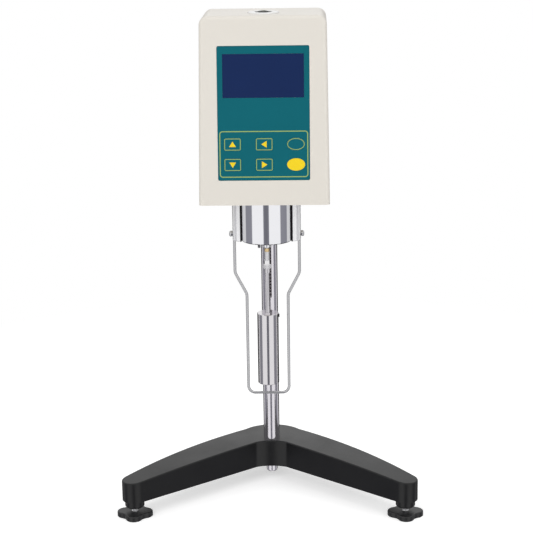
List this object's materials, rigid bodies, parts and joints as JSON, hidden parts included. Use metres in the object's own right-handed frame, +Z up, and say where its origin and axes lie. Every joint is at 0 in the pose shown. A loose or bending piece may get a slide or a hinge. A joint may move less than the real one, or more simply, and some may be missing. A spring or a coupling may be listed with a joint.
{
  "type": "rotational viscometer",
  "caption": "Bench rotational viscometer: slanted instrument head on a rack column, with a guarded cylinder rotor below, over a V-shaped three-point base.",
  "frame": {"origin": "centre of the rear foot's rest face, on the bench", "axes": "+Z up, -Y towards the user in front of the panel, X=0 is the plane of symmetry of the stand and head"},
  "size_m": [0.276, 0.151, 0.45],
  "materials": {
    "black_casting": "satin black paint",
    "polished_steel": "polished",
    "steel": "turned",
    "zinc_steel": "zinc plated",
    "rubber": "matt",
    "black_plastic": "fine grain",
    "ivory_paint": "smooth satin ivory",
    "aluminium": "machined",
    "brass": "turned",
    "teal_membrane": "printed membrane",
    "yellow_key": "printed key",
    "display_glass": "tinted window",
    "display_body": "module",
    "circuit_board": "solder mask",
    "vial": "dark clear",
    "white_ring": "polished ivory"
  },
  "bodies": {
    "base": {"base_casting": "black_casting", "rear_foot": "rubber", "column_washer": "zinc_steel", "column_nut": "polished_steel", "column": "polished_steel", "rack": "steel", "travel_stops": "black_plastic"},
    "foot_screw_left_body": {"foot_screw_left": "zinc_steel"},
    "foot_screw_right_body": {"foot_screw_right": "zinc_steel"},
    "foot_knob_left_body": {"foot_knob_left": "black_plastic"},
    "foot_knob_right_body": {"foot_knob_right": "black_plastic"},
    "head": {"lift_bracket": "black_casting", "pinion_bushes": "brass", "friction_shoe": "brass", "housing_shell": "ivory_paint", "rear_cover": "ivory_paint", "housing_screws": "zinc_steel", "bottom_plate": "ivory_paint", "membrane_panel": "teal_membrane", "display_window": "display_glass", "display_module": "display_body", "control_board": "circuit_board", "board_standoffs": "brass", "level_ring": "white_ring", "level_vial": "vial", "collar": "polished_steel", "collar_screws": "zinc_steel", "nose_bushing": "polished_steel", "stop_pin": "polished_steel", "guard_cheeks": "polished_steel", "guard_wire": "polished_steel", "guard_screws": "polished_steel", "chassis": "aluminium", "bracket_screws": "zinc_steel", "pillars": "steel", "motor": "zinc_steel", "shelf_bearing": "brass", "light_gates": "black_plastic", "power_jack": "black_plastic", "switch_bezel": "black_plastic"},
    "pinion": {"pinion_shaft": "steel", "lift_knob": "black_plastic"},
    "tension": {"tension_screw": "black_plastic"},
    "drive": {"drive_shaft": "steel", "drive_disc": "aluminium", "hairspring": "brass"},
    "spindle": {"pivot_shaft": "steel", "pivot_disc": "aluminium", "brass_ring": "brass", "coupling_nut": "polished_steel", "rotor_shaft": "polished_steel", "rotor_body": "polished_steel"},
    "rocker": {"power_rocker": "black_plastic"},
    "key_up_body": {"key_up": "yellow_key"},
    "key_down_body": {"key_down": "yellow_key"},
    "key_left_body": {"key_left": "yellow_key"},
    "key_right_body": {"key_right": "yellow_key"},
    "key_reset_body": {"key_reset": "yellow_key"},
    "key_enter_body": {"key_enter": "yellow_key"}
  },
  "joints": [
    {"name": "head_lift", "type": "slide", "parent": "base", "child": "head", "axis": [0, 0, 1], "range_m": [-0.105, 0.08]},
    {"name": "pinion_turn", "type": "hinge", "parent": "head", "child": "pinion", "pos_m": [0, -0.0421, 0.2945], "axis": [1, 0, 0], "range_deg": [-660, 865]},
    {"name": "tension_turn", "type": "hinge", "parent": "head", "child": "tension", "pos_m": [0, -0.0145, 0.3225], "axis": [0, 1, 0], "range_deg": [0, 180]},
    {"name": "drive_spin", "type": "hinge", "parent": "head", "child": "drive", "pos_m": [0, -0.094, 0.34], "axis": [0, 0, 1], "continuous": true},
    {"name": "spindle_wind", "type": "hinge", "parent": "drive", "child": "spindle", "pos_m": [0, -0.094, 0.24], "axis": [0, 0, 1], "range_deg": [-80, 0], "stiffness_Nm_per_rad": 0.000048},
    {"name": "power_rock", "type": "hinge", "parent": "head", "child": "rocker", "pos_m": [0.031, -0.0544, 0.385], "axis": [1, 0, 0], "range_deg": [-16, 0]},
    {"name": "foot_left_raise", "type": "slide", "parent": "base", "child": "foot_screw_left_body", "axis": [0, 0, 1], "range_m": [-0.008, 0.0035]},
    {"name": "foot_left_turn", "type": "hinge", "parent": "foot_screw_left_body", "child": "foot_knob_left_body", "pos_m": [-0.122, -0.117, 0.0025], "axis": [0, 0, 1], "range_deg": [-2900, 1270]},
    {"name": "foot_right_raise", "type": "slide", "parent": "base", "child": "foot_screw_right_body", "axis": [0, 0, 1], "range_m": [-0.008, 0.0035]},
    {"name": "foot_right_turn", "type": "hinge", "parent": "foot_screw_right_body", "child": "foot_knob_right_body", "pos_m": [0.122, -0.117, 0.0025], "axis": [0, 0, 1], "range_deg": [-2900, 1270]},
    {"name": "key_up_press", "type": "slide", "parent": "head", "child": "key_up_body", "axis": [0, 0.9918, -0.1276], "range_m": [0, 0.0003], "stiffness_N_per_m": 6000},
    {"name": "key_down_press", "type": "slide", "parent": "head", "child": "key_down_body", "axis": [0, 0.9918, -0.1276], "range_m": [0, 0.0003], "stiffness_N_per_m": 6000},
    {"name": "key_left_press", "type": "slide", "parent": "head", "child": "key_left_body", "axis": [0, 0.9918, -0.1276], "range_m": [0, 0.0003], "stiffness_N_per_m": 6000},
    {"name": "key_right_press", "type": "slide", "parent": "head", "child": "key_right_body", "axis": [0, 0.9918, -0.1276], "range_m": [0, 0.0003], "stiffness_N_per_m": 6000},
    {"name": "key_reset_press", "type": "slide", "parent": "head", "child": "key_reset_body", "axis": [0, 0.9918, -0.1276], "range_m": [0, 0.0003], "stiffness_N_per_m": 6000},
    {"name": "key_enter_press", "type": "slide", "parent": "head", "child": "key_enter_body", "axis": [0, 0.9918, -0.1276], "range_m": [0, 0.0003], "stiffness_N_per_m": 6000}
  ],
  "couplings": [
    {"joint": "pinion_turn", "follows": "head_lift", "rad_per_m": -142.86},
    {"joint": "foot_left_turn", "follows": "foot_left_raise", "rad_per_m": 6283.2},
    {"joint": "foot_right_turn", "follows": "foot_right_raise", "rad_per_m": 6283.2}
  ]
}
